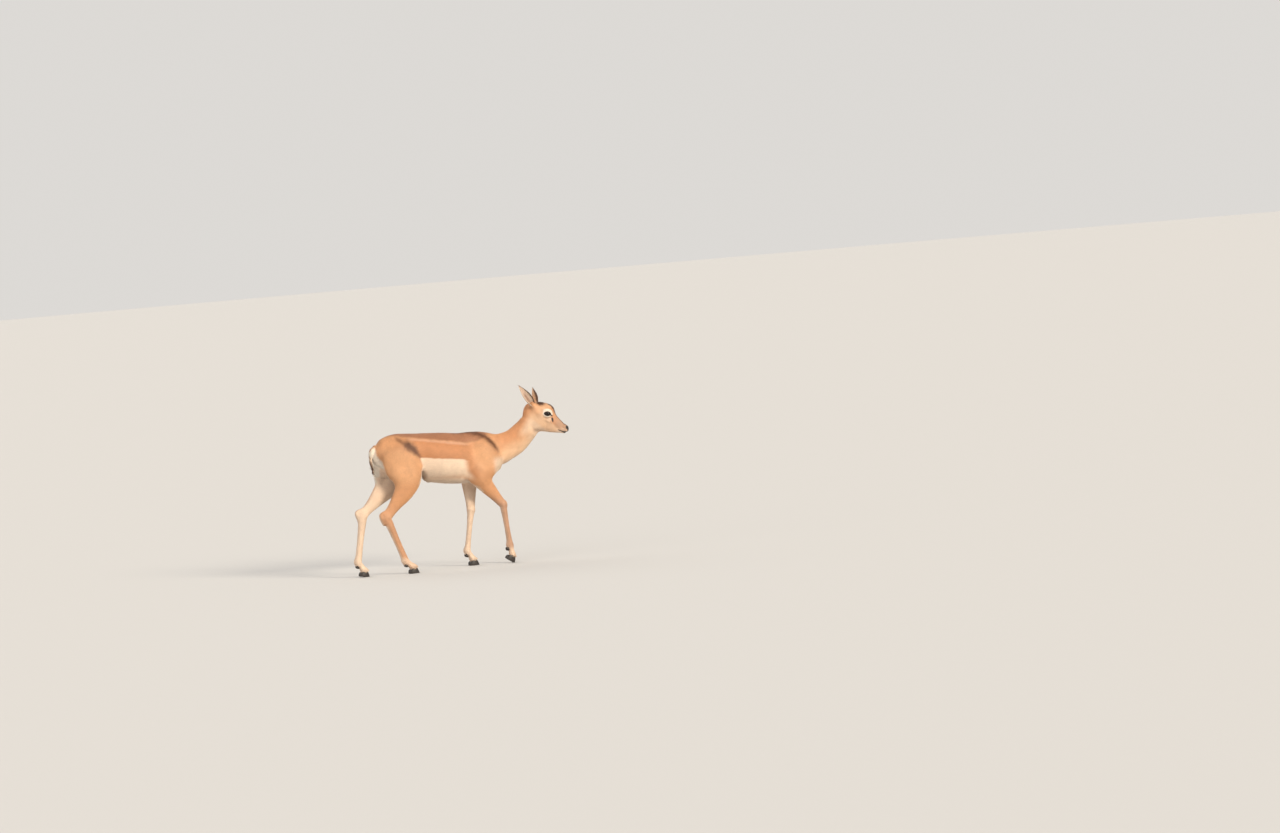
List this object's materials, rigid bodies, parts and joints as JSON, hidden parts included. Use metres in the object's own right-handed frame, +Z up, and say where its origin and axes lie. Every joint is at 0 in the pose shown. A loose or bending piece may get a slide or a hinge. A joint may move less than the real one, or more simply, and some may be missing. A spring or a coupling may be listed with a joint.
{
  "type": "blackbuck model",
  "caption": "Life-size still model of a young hornless blackbuck in mid stride, head turned slightly to its right, standing on its hooves.",
  "frame": {"origin": "middle of the whole outline seen from above, on the floor that the hooves stand on", "axes": "+X forward towards the nose, +Y to the animal's left, +Z up"},
  "size_m": [0.9986, 0.2015, 0.7847],
  "materials": {
    "coat": "short flat hair",
    "pale_coat": "short flat hair",
    "hoof_horn": "satin horn",
    "eye": "wet gloss"
  },
  "bodies": {
    "root": {"trunk": "coat", "neck": "coat", "head": "coat", "ear_left": "coat", "ear_right": "coat", "eye_left": "eye", "eye_right": "eye", "tail": "coat", "fore_right_upper": "coat", "fore_right_cannon": "coat", "fore_right_pastern": "pale_coat", "fore_right_hoof_outer": "hoof_horn", "fore_right_dewclaw_outer": "hoof_horn", "fore_right_hoof_inner": "hoof_horn", "fore_right_dewclaw_inner": "hoof_horn", "fore_left_upper": "coat", "fore_left_cannon": "coat", "fore_left_pastern": "pale_coat", "fore_left_hoof_outer": "hoof_horn", "fore_left_dewclaw_outer": "hoof_horn", "fore_left_hoof_inner": "hoof_horn", "fore_left_dewclaw_inner": "hoof_horn", "hind_right_thigh": "coat", "hind_right_gaskin": "coat", "hind_right_cannon": "coat", "hind_right_pastern": "pale_coat", "hind_right_hoof_outer": "hoof_horn", "hind_right_dewclaw_outer": "hoof_horn", "hind_right_hoof_inner": "hoof_horn", "hind_right_dewclaw_inner": "hoof_horn", "hind_left_thigh": "coat", "hind_left_gaskin": "coat", "hind_left_cannon": "coat", "hind_left_pastern": "pale_coat", "hind_left_hoof_outer": "hoof_horn", "hind_left_dewclaw_outer": "hoof_horn", "hind_left_hoof_inner": "hoof_horn", "hind_left_dewclaw_inner": "hoof_horn"}
  },
  "joints": []
}
